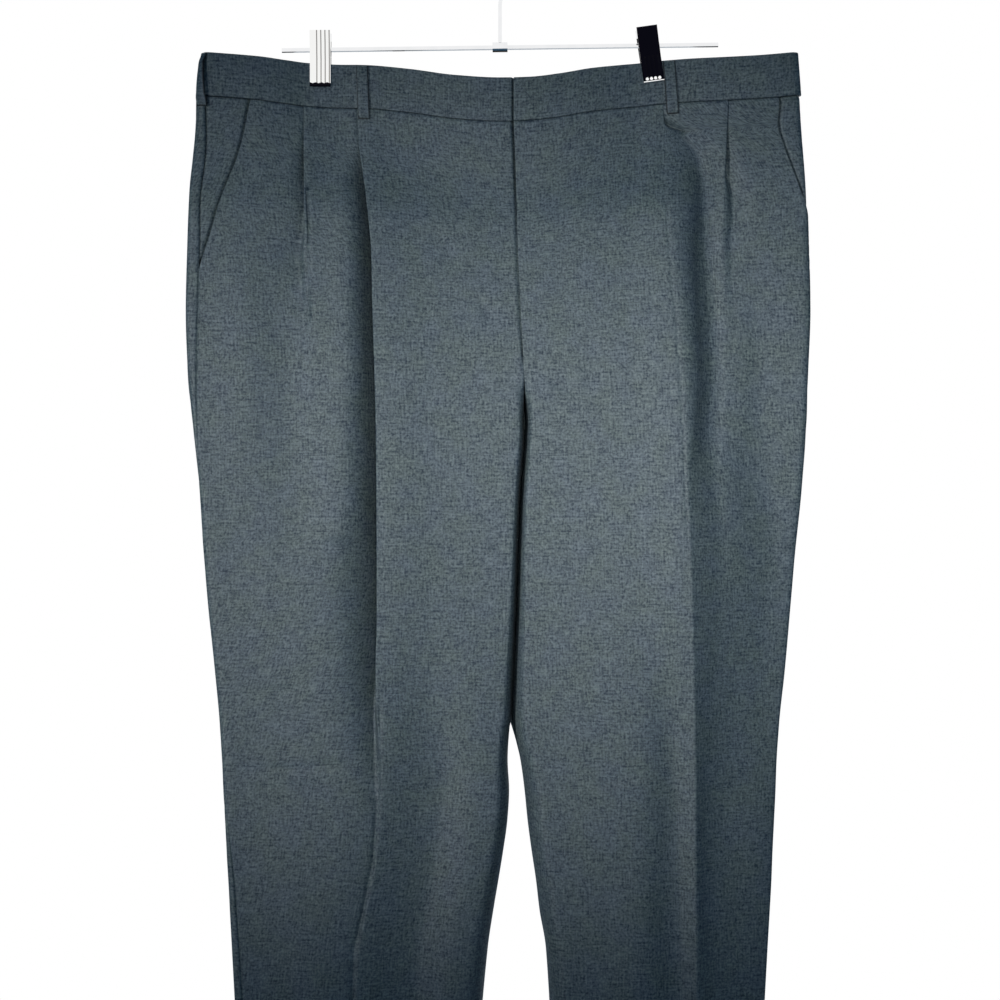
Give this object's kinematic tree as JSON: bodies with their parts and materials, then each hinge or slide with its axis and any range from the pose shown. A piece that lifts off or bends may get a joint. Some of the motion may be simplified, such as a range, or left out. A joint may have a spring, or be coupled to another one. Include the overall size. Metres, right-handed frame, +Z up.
{
  "type": "pleated dress trousers on a clip hanger",
  "caption": "Double-pleated dress trousers with slant pockets, a fly and pressed creases, hanging flat by the waistband from a metal clip hanger.",
  "frame": {"origin": "the point inside the top of the hanger's hook where a rail carries it", "axes": "+Z up, out of the top of the hook; the front of the trousers faces -Y; the wearer's right leg is at -X and the left leg at +X"},
  "size_m": [0.5851, 0.0906, 1.2135],
  "materials": {
    "wool": "blue-grey heathered worsted suiting, plain fine weave, matt",
    "chromed_steel": "bright chromed steel wire and pressed sheet"
  },
  "bodies": {
    "root": {"front_right": "wool", "front_left": "wool", "back_right": "wool", "back_left": "wool", "waistband_right": "wool", "waistband_left": "wool", "pocket_facing_right": "wool", "pocket_facing_left": "wool", "belt_loop_front_right": "wool", "belt_loop_front_left": "wool", "belt_loop_side_right": "wool", "belt_loop_side_left": "wool", "belt_loop_back_right": "wool", "belt_loop_back_left": "wool", "belt_loop_centre_back": "wool", "hanger_bar": "chromed_steel", "hanger_boss": "chromed_steel", "hanger_hook": "chromed_steel", "clip_sleeve_right": "chromed_steel", "clip_sleeve_left": "chromed_steel", "clip_jaw_front_right": "chromed_steel", "clip_jaw_front_left": "chromed_steel", "clip_jaw_back_right": "chromed_steel", "clip_jaw_back_left": "chromed_steel"}
  },
  "joints": []
}
